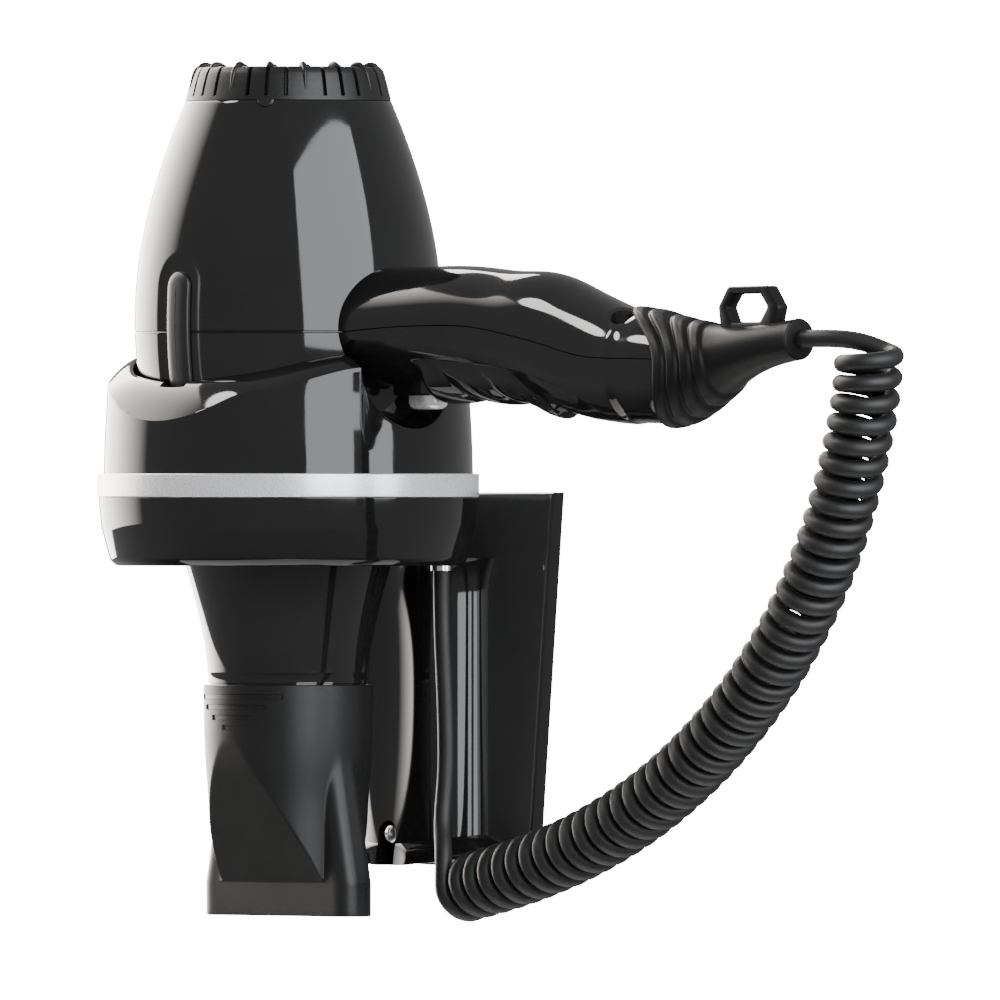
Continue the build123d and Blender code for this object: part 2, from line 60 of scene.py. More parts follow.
def to_frame(points):
    """Millimetres about the dryer's axis to metres in the shared frame."""
    return (np.asarray(points, dtype=float).reshape(-1, 3) + (0, AXIS_Y, 0)) * MM


def add_mesh(name, points, faces, material):
    """A smooth-shaded mesh from points in millimetres about the dryer's axis."""
    mesh = bpy.data.meshes.new(name)
    mesh.from_pydata(to_frame(points).tolist(), [], faces)
    mesh.polygons.foreach_set("use_smooth", [True] * len(mesh.polygons))
    mesh.materials.append(material)
    mesh.validate()
    mesh.set_sharp_from_angle(angle=SHARP_EDGE)
    piece = bpy.data.objects.new(name, mesh)
    bpy.context.collection.objects.link(piece)
    return piece


def add_piece(name, shape, body, stands_for, slot, material=None):
    """A piece that rides on a body, stands for a CAD node and takes its slot's material."""
    piece = add_mesh(name, *shape, material or BY_SLOT[slot])
    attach(piece, body)
    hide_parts(stands_for)


def skin(rings, wrap_rows=False):
    """Points and faces of a closed skin through rings, capped or joined end to end."""
    rings = np.asarray(rings, dtype=float)
    rows, columns = rings.shape[:2]
    faces = []
    for i in range(rows if wrap_rows else rows - 1):
        a, b = i * columns, (i + 1) % rows * columns
        for j in range(columns):
            k = (j + 1) % columns
            faces.append((a + j, a + k, b + k, b + j))
    if not wrap_rows:
        last = (rows - 1) * columns
        faces.append(tuple(range(columns - 1, -1, -1)))
        faces.append(tuple(range(last, last + columns)))
    return rings.reshape(-1, 3), faces


def join(*skins):
    """Several skins as one set of points and faces."""
    points, faces, start = [], [], 0
    for some_points, some_faces in skins:
        points.append(some_points)
        faces += [tuple(i + start for i in face) for face in some_faces]
        start += len(some_points)
    return np.concatenate(points), faces


def full_turn(steps):
    """Even angles all the way round."""
    return np.linspace(0, 2 * math.pi, steps, endpoint=False)


def level_ring(radius, turn, z):
    """Points at one height, at a radius and turn about the dryer's axis."""
    return np.stack([radius * np.cos(turn), radius * np.sin(turn), np.full(len(turn), z)], 1)


def upright(outline, y):
    """Points of an (x, z) outline at a distance towards the wall."""
    return np.stack([outline[:, 0], np.broadcast_to(y, len(outline)), outline[:, 1]], 1)


def lathe(outline, steps):
    """Closed (radius, z) outline turned about the dryer's axis."""
    radius, z = np.transpose(outline)
    turn = full_turn(steps)[:, None]
    rings = [np.cos(turn) * radius, np.sin(turn) * radius, np.broadcast_to(z, (steps, len(z)))]
    return skin(np.stack(rings, 2), wrap_rows=True)


def rounded(corners, radius, steps):
    """A closed 2-D outline with its corners rounded; a corner may carry its own radius."""
    out = []
    count = len(corners)
    for i, corner in enumerate(corners):
        p = np.array(corner[:2], dtype=float)
        r = corner[2] if len(corner) > 2 else radius
        a = np.array(corners[i - 1][:2], dtype=float) - p
        b = np.array(corners[(i + 1) % count][:2], dtype=float) - p
        la, lb = np.linalg.norm(a), np.linalg.norm(b)
        half = math.acos(max(-1.0, min(1.0, float(a @ b) / (la * lb)))) / 2
        reach = min(r / math.tan(half), 0.49 * la, 0.49 * lb)
        start, end = p + a / la * reach, p + b / lb * reach
        for k in range(steps + 1):
            t = k / steps
            out.append(tuple((1 - t) ** 2 * start + 2 * t * (1 - t) * p + t ** 2 * end))
    return out


def curve_through(points, at):
    """Natural cubic curve through a table's rows, read at values of its first column."""
    points = np.asarray(points, dtype=float)
    x = points[:, 0]
    h = np.diff(x)
    n = len(x)
    system = np.eye(n)
    right = np.zeros((n, points.shape[1] - 1))
    for i in range(1, n - 1):
        system[i, i - 1:i + 2] = h[i - 1], 2 * (h[i - 1] + h[i]), h[i]
        right[i] = 6 * ((points[i + 1, 1:] - points[i, 1:]) / h[i]
                        - (points[i, 1:] - points[i - 1, 1:]) / h[i - 1])
    bend = np.linalg.solve(system, right)
    at = np.asarray(at, dtype=float)
    i = np.clip(np.searchsorted(x, at, side="right") - 1, 0, n - 2)
    t, u = (at - x[i])[:, None], (x[i + 1] - at)[:, None]
    hi = h[i][:, None]
    y0, y1 = points[i, 1:], points[i + 1, 1:]
    value = (bend[i] * u ** 3 + bend[i + 1] * t ** 3) / (6 * hi)
    value += (y0 / hi - bend[i] * hi / 6) * u + (y1 / hi - bend[i + 1] * hi / 6) * t
    return value


def soft_min(a, b, k):
    """The lesser of two, blended over about k where they cross."""
    return -k * np.logaddexp(-a / k, -b / k)


def soft_max(a, b, k):
    """The greater of two, blended over about k where they cross."""
    return k * np.logaddexp(a / k, b / k)


# ---------- materials

def set_inputs(node, values):
    """Sets a node's own inputs, by name or number."""
    for key, value in values.items():
        node.inputs[key].default_value = value
    return node


def new_node(tree, kind, values=None):
    """A shader node with its inputs set."""
    return set_inputs(tree.nodes.new("ShaderNode" + kind), values or {})


def new_material(name):
    """A node material, its node tree and its shader."""
    material = bpy.data.materials.new(name)
    material.use_nodes = True
    return material, material.node_tree, material.node_tree.nodes["Principled BSDF"]


def position(tree, scale):
    """Object coordinates scaled for a texture; object space is the shared frame, in metres."""
    mapping = new_node(tree, "Mapping", {"Scale": (scale, scale, scale)})
    tree.links.new(new_node(tree, "TexCoord").outputs["Object"], mapping.inputs["Vector"])
    return mapping.outputs["Vector"]


def noise(tree, scale, detail=3.0):
    """Noise texture in object space, scale per metre."""
    texture = new_node(tree, "TexNoise", {"Scale": 1.0, "Detail": detail, "Roughness": 0.5})
    tree.links.new(position(tree, scale), texture.inputs["Vector"])
    return texture.outputs["Fac"]


def ramp(tree, source, low, high, target, start=0.3, end=0.7):
    """Ramp between two grey levels or RGB colours, into a shader's input."""
    node = new_node(tree, "ValToRGB")
    for stop, level, place in zip(node.color_ramp.elements, (low, high), (start, end)):
        stop.position = place
        stop.color = tuple(np.broadcast_to(level, 3)) + (1,)
    tree.links.new(source, node.inputs["Fac"])
    tree.links.new(node.outputs["Color"], target)


def bump(tree, height, strength, distance, shader):
    """Bump into the shader's normal; distance is in metres."""
    node = new_node(tree, "Bump", {"Strength": strength, "Distance": distance})
    tree.links.new(height, node.inputs["Height"])
    tree.links.new(node.outputs["Normal"], shader.inputs["Normal"])


def plastic(name, colour, variation, rough, grain, grain_depth, ior=1.5):
    """Moulded plastic or rubber: colour drift, uneven gloss and a fine surface grain.

    colour and variation are grey or RGB levels, rough is a (low, high) pair, grain is per metre
    and grain_depth in metres.
    """
    material, tree, shader = new_material(name)
    ramp(tree, noise(tree, 35), colour, variation, shader.inputs["Base Color"])
    ramp(tree, noise(tree, 90, 4.0), *rough, shader.inputs["Roughness"])
    set_inputs(shader, {"IOR": ior})
    bump(tree, noise(tree, grain, 2.0), 0.35, grain_depth, shader)
    return material


def painted_wall_sheen(material, low, high):
    """Painted reflection: makes the plastic's colour paler from the column's root to the wall
    plate's front face.
    """
    tree = material.node_tree
    axes = new_node(tree, "SeparateXYZ")
    reach = new_node(tree, "MapRange", {"From Min": -7.5 * MM, "From Max": -5.2 * MM})
    # the painted reflection stops at the plate's front face; the plate's own rounded edge and sides
    # stay dark
    face = new_node(tree, "Math", {1: -4.85 * MM})
    face.operation = "LESS_THAN"
    pale = new_node(tree, "Math")
    pale.operation = "MULTIPLY"
    tree.links.new(new_node(tree, "TexCoord").outputs["Object"], axes.inputs["Vector"])
    tree.links.new(axes.outputs["Y"], reach.inputs["Value"])
    tree.links.new(axes.outputs["Y"], face.inputs[0])
    tree.links.new(reach.outputs["Result"], pale.inputs[0])
    tree.links.new(face.outputs["Value"], pale.inputs[1])
    ramp(tree, pale.outputs["Value"], low, high,
         tree.nodes["Principled BSDF"].inputs["Base Color"], 0.0, 1.0)
    return material


def flake_paint(name, colour, rough):
    """Silver paint with fine flakes that each catch the light a little differently."""
    material, tree, shader = new_material(name)
    cells = new_node(tree, "TexVoronoi", {"Scale": 1.0})
    tree.links.new(position(tree, 7000), cells.inputs["Vector"])
    flake = new_node(tree, "SeparateColor")
    tree.links.new(cells.outputs["Color"], flake.inputs["Color"])
    low = [0.84 * c for c in colour]
    high = [min(1.0, 1.12 * c) for c in colour]
    ramp(tree, flake.outputs["Red"], low, high, shader.inputs["Base Color"], 0.1, 0.9)
    ramp(tree, flake.outputs["Green"], rough - 0.08, rough + 0.1, shader.inputs["Roughness"])
    set_inputs(shader, {"Metallic": 0.52, "Coat Weight": 0.4, "Coat Roughness": 0.12})
    bump(tree, flake.outputs["Blue"], 0.12, 0.00004, shader)
    return material


def metal(name, colour, rough):
    """Plated metal with faint drift in tone and gloss, and a fine grain."""
    material, tree, shader = new_material(name)
    dull = [0.82 * c for c in colour]
    ramp(tree, noise(tree, 160), dull, colour, shader.inputs["Base Color"])
    ramp(tree, noise(tree, 400), rough, rough + 0.12, shader.inputs["Roughness"])
    set_inputs(shader, {"Metallic": 1.0})
    bump(tree, noise(tree, 900, 2.0), 0.2, 0.00005, shader)
    return material


# each material slot's numbers, in the order of the functions above
PLASTICS = {
    "gloss_black": (0.0065, 0.009, (0.045, 0.07), 260, 0.000015, 1.52),
    "strip_black": (0.008, 0.011, (0.36, 0.42), 2600, 0.00005),
    "matte_black": (0.006, 0.009, (0.36, 0.43), 5200, 0.00007, 1.43),
    "matte_rubber": (0.006, 0.009, (0.38, 0.45), 3800, 0.00008, 1.26),
    "cord_black": (0.006, 0.009, (0.47, 0.55), 1800, 0.00005),
    "soft_black": (0.02, 0.03, (0.5, 0.65), 2500, 0.0001),
    "black_nylon": (0.02, 0.03, (0.4, 0.55), 2500, 0.0001),
    "duct_grey": (0.08, 0.11, (0.4, 0.55), 2500, 0.0001),
    "mica": ((0.42, 0.34, 0.22), (0.52, 0.43, 0.29), (0.35, 0.5), 900, 0.0002),
    "white_block": (0.7, 0.8, (0.35, 0.5), 2500, 0.0001),
    "switch_red": ((0.35, 0.03, 0.02), (0.42, 0.05, 0.03), (0.35, 0.5), 2500, 0.0001),
    "suppressor_blue": ((0.04, 0.08, 0.25), (0.06, 0.11, 0.32), (0.2, 0.35), 2500, 0.0001)}
PAINTS = {
    "silver_trim": ((0.95, 0.96, 0.99), 0.27),
    "button_silver": ((0.96, 0.97, 1.0), 0.2)}
METALS = {
    "steel": ((0.60, 0.60, 0.61), 0.3),
    "screw_silver": ((0.78, 0.78, 0.79), 0.16),
    "gland_silver": ((0.82, 0.82, 0.83), 0.1),
    "element_wire": ((0.5, 0.45, 0.4), 0.35),
    "screen_steel": ((0.3, 0.3, 0.31), 0.35)}
BY_SLOT = {slot: make(slot, *numbers)
           for make, slots in ((plastic, PLASTICS), (flake_paint, PAINTS), (metal, METALS))
           for slot, numbers in slots.items()}


def dress_nodes():
    """Every carried-over node takes the material of its slot."""
    for entry in frame["record"]["subparts"]:
        node = NODES[entry["node"]]
        material = BY_SLOT[entry["material_slot"]]
        if not node.material_slots:
            node.data.materials.append(material)
        for place in node.material_slots:
            place.material = material


# ---------- camera, cord

def aim(obj, target):
    """Turns an object's -Z towards a point."""
    obj.rotation_euler = (Vector(target) - obj.location).to_track_quat("-Z", "Y").to_euler()


def add_camera():
    """A long level lens, turned about the upright axis."""
    data = bpy.data.cameras.new("camera")
    data.lens = 1000
    data.sensor_width = 36
    data.clip_end = 100
    seen_width, aim_height, aim_aside = 0.300, 0.051, 0.06345
    camera = bpy.data.objects.new("camera", data)
    bpy.context.collection.objects.link(camera)
    side = Vector((math.cos(VIEW_TURN), math.sin(VIEW_TURN), 0))
    away = Vector((math.sin(VIEW_TURN), -math.cos(VIEW_TURN), 0))
    target = Vector((0, AXIS_Y * MM, aim_height)) + side * aim_aside
    camera.location = target + away * (seen_width * data.lens / data.sensor_width)
    aim(camera, target)
    bpy.context.scene.camera = camera


CORD_D = 5.3
COIL_D = 21.0  # outside
COIL_TURNS = 43
CORD_SIDES = 14
# route points of the coil's middle line and of the lead at each end, mm about the dryer's axis
COIL_ROUTE = [(247.6, 0.0, 98.8), (247.0, 0.1, 86.5), (243.0, 0.6, 71.0), (236.2, 1.7, 53.5),
              (226.8, 3.3, 35.5), (213.3, 5.5, 17.0), (197.1, 8.2, 0.0), (176.4, 11.6, -16.6),
              (154.2, 15.3, -30.4), (130.3, 19.3, -42.0), (105.0, 23.4, -51.3),
              (79.6, 27.4, -58.3), (56.4, 31.0, -63.0), (36.0, 34.0, -66.4)]
HOLDER_LEAD = [(31.5, 33.5, 29.8), (31.5, 33.5, 14.0), (32.6, 34.0, -9.0), (33.6, 33.6, -30.0),
               (33.4, 31.6, -46.0)]
DRYER_LEAD = [(218.5, 0.0, 98.4), (227.0, 0.0, 98.6), (234.5, 2.5, 98.4), (241.0, 6.0, 97.2)]


def nurbs_points(name, route):
    """Points along a smooth NURBS line whose control points are the route."""
    data = bpy.data.curves.new(name, "CURVE")
    data.dimensions = "3D"
    data.resolution_u = 24
    spline = data.splines.new("NURBS")
    spline.points.add(len(route) - 1)
    for point, (x, y, z) in zip(spline.points, route):
        point.co = (x * MM, y * MM, z * MM, 1)
    spline.order_u = 3
    spline.use_endpoint_u = True
    holder = bpy.data.objects.new(name, data)
    bpy.context.collection.objects.link(holder)
    mesh = bpy.data.meshes.new_from_object(holder)
    points = np.array([v.co[:] for v in mesh.vertices]) / MM
    bpy.data.objects.remove(holder)
    bpy.data.meshes.remove(mesh)
    return points


def along(points, count):
    """Points spaced evenly along a line, and their distance from its start."""
    length = np.concatenate([[0], np.cumsum(np.linalg.norm(np.diff(points, axis=0), axis=1))])
    at = np.linspace(0, length[-1], count)
    return np.stack([np.interp(at, length, points[:, i]) for i in range(3)], axis=1), at


def normals_along(line, first_side):
    """Two normals at each point of a line, without twist."""
    tangent = np.gradient(line, axis=0)
    tangent /= np.linalg.norm(tangent, axis=1)[:, None]
    side = np.empty_like(line)
    current = np.asarray(first_side, dtype=float)
    for i, t in enumerate(tangent):
        current = current - t * (current @ t)
        current /= np.linalg.norm(current)
        side[i] = current
    return side, np.cross(tangent, side)


def rings_round(line, radius, a, b, sides):
    """Rings round a line, from two normals at each point; radius may vary along it."""
    turn = full_turn(sides)[:, None]
    radius = np.broadcast_to(radius, len(line))[:, None, None]
    return line[:, None] + radius * (np.cos(turn) * a[:, None] + np.sin(turn) * b[:, None])


def smooth_step(t):
    """0 to 1 with level ends."""
    t = np.clip(t, 0, 1)
    return t * t * (3 - 2 * t)


def curly_line():
    """The cord's own line: lead out of the boot, helix, lead up to the gland."""
    first, search = 90, 150  # samples left out at the top, and looked through at the low end
    axis, at = along(nurbs_points("coil_route", COIL_ROUTE), 6000)
    side, up = normals_along(axis, (1.0, 0.0, 0.0))
    part = at / at[-1]
    # the turns lie close together at the top and open a little lower down
    pitch = 6.0 + 0.7 * smooth_step(part / 0.5) + 0.7 * smooth_step((part - 0.5) / 0.5)
    phase = np.concatenate([[0], np.cumsum(1 / pitch[1:])])
    phase *= 2 * math.pi * COIL_TURNS / phase[-1]
    reach = (COIL_D - CORD_D) / 2
    turn = phase - phase[first] - math.pi / 2
    helix = axis + reach * (np.cos(turn)[:, None] * side + np.sin(turn)[:, None] * up)
    helix = helix[first:]
    # the low end stops where the strand rises most steeply, straight into the lead
    last = len(helix) - search + int(np.argmax(np.gradient(helix[:, 2])[-search:]))
    helix = helix[:last]
    top = nurbs_points("dryer_lead", DRYER_LEAD + [helix[0]])
    joint = helix[-1]
    low = nurbs_points("holder_lead", HOLDER_LEAD + [joint + (-0.7, 1.0, 10.0), joint])
    return top, helix, low[::-1]


def add_cord():
    """The whole cord as one tube, fixed in the shared frame."""
    top, helix, low = curly_line()
    line, _ = along(np.concatenate([top[:-1], helix, low[1:]]), 9000)
    # eases the joints between leads and helix
    for _ in range(80):
        line[1:-1] = 0.25 * line[:-2] + 0.5 * line[1:-1] + 0.25 * line[2:]
    line, at = along(line, 5200)
    rings = rings_round(line, CORD_D / 2, *normals_along(line, (0.3, 0.9, 0.1)), CORD_SIDES)
    piece = add_mesh("cord", *skin(rings), BY_SLOT["cord_black"])
    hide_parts("cord_coil", "cord_lead_holder", "cord_lead_dryer")
    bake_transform(piece)


dress_nodes()
add_camera()
add_cord()


# ---------- dryer

WALL = 2.2
BEVEL = 0.25
# barrel: height, radius
BARREL = [(-0.8, 24.0), (7.65, 25.2), (31.2, 30.6), (44, 34.6), (58, 38.8), (72, 42.3), (84, 44.6),
          (94, 45.7), (101.2, 46.05), (110, 45.9), (121.2, 45.15), (128.1, 44.1), (141, 41.4),
          (153.3, 37.35), (170.6, 30.9)]
# handle sections: x, top, bottom, half-width
HANDLE = [(16, 119.5, 85, 19.6), (40, 120.4, 85, 19.4), (57, 120.6, 85, 18.9),
          (72, 120.9, 84.6, 18.2), (86, 120.4, 84, 17.5), (101, 119.2, 82.4, 16.9),
          (111, 119, 80.4, 16.5), (121, 117.2, 77.6, 16.2), (130, 114, 75.6, 15.9),
          (139, 110.8, 74.2, 15.5), (149, 107.9, 73.4, 15.2), (160, 106.6, 73.1, 14.7),
          (168, 104.9, 73.3, 13.9), (176, 103.4, 75.6, 12.7), (185, 102.4, 80.6, 10.8),
          (196, 102.3, 86.6, 8.7), (207, 103.3, 90.2, 7.2), (218.5, 104.6, 92.1, 6.3)]
BARREL_FOOT, BARREL_TOP = BARREL[0][0], BARREL[-1][0]
BARREL_CURVE = np.polynomial.Polynomial.fit(*np.transpose(BARREL), 6)
SEAM_Z = 101.2
SEAM_HALF = 0.15
# along the handle: the seam's height, and the crease over the finger grip
SEAM = [(44, 101.2), (64, 102.5), (81, 102.9), (96, 102.4), (111, 100.1), (127, 96.8), (139, 94),
        (160, 92.9), (185, 91.9)]
CREASE = [(60, 93.6), (74, 93.4), (85, 92.4), (100, 91), (116, 88.6), (131, 84.6), (144, 77.4),
          (150, 70)]
HANDLE_SCREW = (150.0, -6.5)


def barrel_radius(z):
    """Outer radius of the barrel at a height."""
    return BARREL_CURVE(np.atleast_1d(z))


def handle_section(x):
    """Centre height, half height and half width of the handle at each x."""
    value = curve_through(HANDLE, np.atleast_1d(x))
    return (value[:, 0] + value[:, 1]) / 2, (value[:, 0] - value[:, 1]) / 2, value[:, 2]


def edge_of(table, at):
    """Reads a table of pairs with straight runs between them."""
    table = np.asarray(table, dtype=float)
    return np.interp(at, table[:, 0], table[:, 1])


def boot_edge(z):
    """Where the rubber boot starts along the handle, at each height."""
    furthest, middle = 170.6, 90
    return furthest - np.where(z > middle, 0.064, 0.019) * (z - middle) ** 2


def scoop_depth(x, z):
    """Shallow pill-shaped dish round each side strip, steepest at its edge."""
    half, low, high, slope, deepest = 9.3, 74.0, 124.6, 4.6, 0.85
    away = np.hypot(x, z - np.clip(z, low + half, high - half))
    inside = np.clip((half - away) / slope, 0, 1)
    return deepest * (1 - (1 - inside) ** 2)


def barrel_part(z_low, z_high, outline_below=()):
    """One shell of the barrel between two heights, dished round the side strips."""
    z = np.linspace(z_low + BEVEL, z_high - BEVEL, int((z_high - z_low) / 0.7))
    r = barrel_radius(z)
    soft = 0.0 if outline_below else BEVEL
    outer = [(r[0] - soft, z_low), *zip(r, z), (r[-1] - BEVEL, z_high)]
    inner = [(max(a - WALL, 10), b) for a, b in zip(r[::-4], z[::-4])]
    # the lower shell has a tongue that closes the seam just inside its edge
    tongue = [(r[-1] - 0.8, z_high), (r[-1] - 0.8, z_high + 0.3), (r[-1] - WALL, z_high + 0.3)]
    top = tongue if outline_below else [(r[-1] - WALL, z_high)]
    outline = list(outline_below) + outer + top + inner + [(r[0] - WALL, z_low)]
    points, faces = lathe(outline, 480)
    flat = np.hypot(points[:, 0], points[:, 1])
    skin_radius = barrel_radius(np.clip(points[:, 2], BARREL_FOOT, BARREL_TOP))
    on_skin = (flat > skin_radius - 0.6) & (points[:, 2] > 70)
    depth = np.where(on_skin, scoop_depth(points[:, 0], points[:, 2]), 0)
    points[:, :2] *= (1 - depth / flat)[:, None]
    return points, faces


def handle_part(upper):
    """One closed half of the handle, above or below the seam."""
    # closer where the grip and the screw's hole need it
    x = np.concatenate([np.arange(18, 60, 2.0), np.arange(60, 142, 0.5), np.arange(142, 152, 0.2),
                        np.arange(152, 178, 1.5)])
    seam = curve_through(SEAM, np.clip(x, SEAM[0][0], SEAM[-1][0]))
    level = seam + (SEAM_HALF if upper else -SEAM_HALF)
    mid, rise, half = (v[:, None] for v in handle_section(x))
    x = x[:, None]
    s = np.arcsin(np.clip((level - mid) / rise, -0.999, 0.999))
    t = np.linspace(0, 1, 320)[None]
    turn = s + t * (math.pi - 2 * s) if upper else math.pi - s + t * (math.pi + 2 * s)
    normal_y, normal_z = np.cos(turn) / half, np.sin(turn) / rise
    size = np.hypot(normal_y, normal_z)
    normal_y, normal_z = normal_y / size, normal_z / size
    y, z = half * np.cos(turn), mid + rise * np.sin(turn)
    # tucked under the rubber boot past its edge
    grow = -0.5 * smooth_step((x - 150) / 4)
    if not upper:
        grow = grow + grip(np.broadcast_to(x, y.shape), z)
    y, z = y + grow * normal_y, z + grow * normal_z
    if upper:
        # the handle screw's hole, in a slight dimple
        away = np.hypot(x - HANDLE_SCREW[0], y - HANDLE_SCREW[1])
        z = z - 6.0 * (away < 3.3) - 0.4 * smooth_step((5.0 - away) / 1.7)
    # straight across inside; below, a tongue closes the seam just inside its edge
    across = np.linspace(0.985, -0.985, 14)[None] * (1 if y[0, -1] > 0 else -1)
    inside_z = np.repeat(level, across.size, axis=1)
    if not upper:
        inside_z[:, 1:-1] += 0.3
    y = np.concatenate([y, np.abs(y[:, -1:]) * across], axis=1)
    z = np.concatenate([z, inside_z], axis=1)
    return skin(np.stack([np.broadcast_to(x, y.shape), y, z], 2))


def grip(x, z):
    """Outward swell of the finger grip: a shallow hollow under a crease, with slanting lobes."""
    crease = edge_of(CREASE, x)
    below = crease - z
    reach = smooth_step((x - 68) / 5) * (1 - smooth_step((x - 128) / 18))
    low = smooth_step(below / 8)
    hollow = 1.3 * smooth_step(below / 0.9) * (1 - low)
    hollow -= 0.9 * low * (1 - smooth_step((x - 100) / 10))
    # the lobes lean, so they are measured along a slant
    slant = x - 1.25 * (87 - z)
    lobes = np.zeros_like(x)
    for start, end, height in ((50, 84.3, 4.2), (79.5, 98.7, 2.9), (94, 109.3, 1.9)):
        q = np.clip(2 * (slant - start) / (end - start) - 1, -1, 1)
        lobes = np.maximum(lobes, height * np.sqrt(np.clip(1 - q * q, 0, 1)))
    # a low stub with a square end closes the row
    stub = 2.0 * np.clip((x - 107) / 13, 0, 1) * (1 - smooth_step((x - 120.4) / 0.9))
    stub *= smooth_step((below - 7) / 2.5)
    return reach * (lobes * smooth_step((below + 0.5) / 8) - hollow) + stub


def plan_rings(centre_x, loops, power, steps):
    """Level rings from (half_x, half_y, z) loops; squarer in plan as the power falls below 1."""
    c, s = np.cos(full_turn(steps)), np.sin(full_turn(steps))
    plan = np.stack([np.sign(c) * np.abs(c) ** power, np.sign(s) * np.abs(s) ** power], 1)
    return [np.stack([centre_x + half_x * plan[:, 0], half_y * plan[:, 1], np.full(steps, z)], 1)
            for half_x, half_y, z in loops]


def button_part():
    """Press button with rounded ends."""
    half_x, half_y, z_low, z_high, edge = 6.2, 4.0, 78.0, 86.5, 2.2
    bends = [math.pi / 2 * k / 6 for k in range(7)]
    ends = [(edge * (1 - math.sin(a)), z_low + edge * (1 - math.cos(a))) for a in bends]
    ends += [(0, z_high - edge)]
    ends += [(edge * (1 - math.cos(a)), z_high - edge * (1 - math.sin(a))) for a in bends[1:]]
    loops = [(half_x - inset, half_y - inset, z) for inset, z in ends]
    return skin(plan_rings(60.5, loops, 0.625, 72))


def bezel_part():
    """Low frame round the button, under the handle's root."""
    loops = [(8.1, 5.6, 88), (8.1, 5.6, 82.6), (8.4, 5.9, 82.2), (9.7, 7.1, 82.2),
             (10.2, 7.6, 82.7), (10.2, 7.6, 88)]
    return skin(plan_rings(61, loops, 0.45, 96), wrap_rows=True)


def strip_part(side):
    """Raised inlay on the barrel's side with a bevelled edge."""
    half, low, high = 4.5, 82.2, 119.3
    arc = 40
    turn = np.linspace(0, math.pi, arc)
    rings = []
    for inset, height in ((0, -1.6), (0, 0.1), (0.15, 0.5), (0.5, 0.72), (1.3, 0.95), (1.6, 1.05),
                          (2.8, 1.08), (3.8, 1.1), (4.4, 1.1)):
        r = half - inset
        x = np.concatenate([r * np.cos(turn), -r * np.cos(turn)])
        z = np.concatenate([high - half + r * np.sin(turn), low + half - r * np.sin(turn)])
        # the long straight sides get points of their own
        path = np.stack([x, z], 1)
        sides = [np.linspace(a, b, arc + 2)[1:-1]
                 for a, b in ((path[arc - 1], path[arc]), (path[-1], path[0]))]
        path = np.concatenate([path[:arc], sides[0], path[arc:], sides[1]])
        radius = barrel_radius(path[:, 1]) + height - 0.4
        rings.append(upright(path, side * np.sqrt(radius ** 2 - path[:, 0] ** 2)))
    return skin(rings)


def boot_part():
    """Rubber boot: curved front edge, four ribs, horn with a flat round end."""
    length = 50.5
    u = np.concatenate([[-0.02, 0.0, 0.12, 0.4], np.arange(0.7, 24, 0.25), np.arange(24, 49.8, 0.8),
                        [50.1, 50.4, length]])
    # how far the rubber stands off the handle's own form
    offset = np.full(len(u), 0.1)
    for k in range(4):
        offset += 0.95 * np.exp(-((u - 2.0 - 4.85 * k) / 1.9) ** 6)
    offset[:4] = (-2.2, 0.3, 0.75, 0.95)
    offset -= 0.2 * smooth_step((u - 30) / 20)
    offset[-3:] = (-0.05, -0.3, -0.75)
    turn = full_turn(220)
    blend = smooth_step(u / length)[:, None]
    u, offset = u[:, None], offset[:, None]
    z = np.broadcast_to(90 + 15 * np.sin(turn), (len(u), len(turn)))
    # the edge depends on height and the height on the section there, so a few rounds settle both
    for _ in range(14):
        x = (1 - blend) * (boot_edge(z) + u) + blend * (168 + u)
        mid, rise, half = (v.reshape(x.shape) for v in handle_section(x.ravel()))
        z = 0.5 * z + 0.5 * (mid + rise * np.sin(turn))
    normal_y, normal_z = np.cos(turn) / half, np.sin(turn) / rise
    size = np.hypot(normal_y, normal_z)
    y = half * np.cos(turn) + offset * normal_y / size
    z = mid + rise * np.sin(turn) + offset * normal_z / size
    return skin(np.stack([x, y, z], 2))


LOOP_OUT = [(187.4, 98), (186.2, 108.0), (190.2, 114.0), (206.9, 114.2), (211.6, 107.9),
            (208.8, 98)]
LOOP_HOLE = [(192.2, 103.5), (189.8, 107.9), (192.7, 111.7), (203.6, 111.9), (206.8, 107.9),
             (203.4, 103.5)]


def loop_part():
    """Six-sided hanging loop with rounded edges, grown out of the horn."""
    outer = np.array(rounded(LOOP_OUT, 1.6, 8))
    inner = np.array(rounded(LOOP_HOLE, 1.3, 8))
    rows = [(0, -1.7), (0, 1.7), (0.06, 2.15), (0.17, 2.4), (0.83, 2.4), (0.94, 2.15), (1, 1.7),
            (1, -1.7), (0.94, -2.15), (0.83, -2.4), (0.17, -2.4), (0.06, -2.15)]
    rings = []
    for part, y in rows:
        flat = (1 - part) * outer + part * inner
        rings.append(upright(flat, y))
    return skin(rings, wrap_rows=True)


# nozzle: height, radius, half depth between the wedge faces
NOZZLE = [(-4.35, 25.5, 30.0), (-20.7, 25.2, 25.3), (-28.8, 24.8, 23.5), (-37.8, 24.1, 20.1),
          (-46.5, 23.7, 16.2), (-55.8, 23.4, 11.1), (-63.7, 23.2, 6.5)]
MOUTH_Z = -73.7
MOUTH_START = -63.6
WEDGE_START = -24.0
MOUTH_RUN = 39.7  # height over which the mouth's form widens
GROOVES = 4
GROOVE_STEP = 3.1


def stadium_radius(turn, length, thick, corner):
    """Distance from the middle to a rounded rectangle's outline in each direction."""
    c, s = np.abs(np.cos(turn)), np.abs(np.sin(turn))
    low, high = np.zeros_like(turn), np.full_like(turn, 60.0)
    for _ in range(32):
        r = (low + high) / 2
        qx, qy = r * c - (length - corner), r * s - (thick - corner)
        away = np.hypot(np.maximum(qx, 0), np.maximum(qy, 0)) + np.minimum(np.maximum(qx, qy), 0)
        outside = away > corner
        high, low = np.where(outside, r, high), np.where(outside, low, r)
    return r


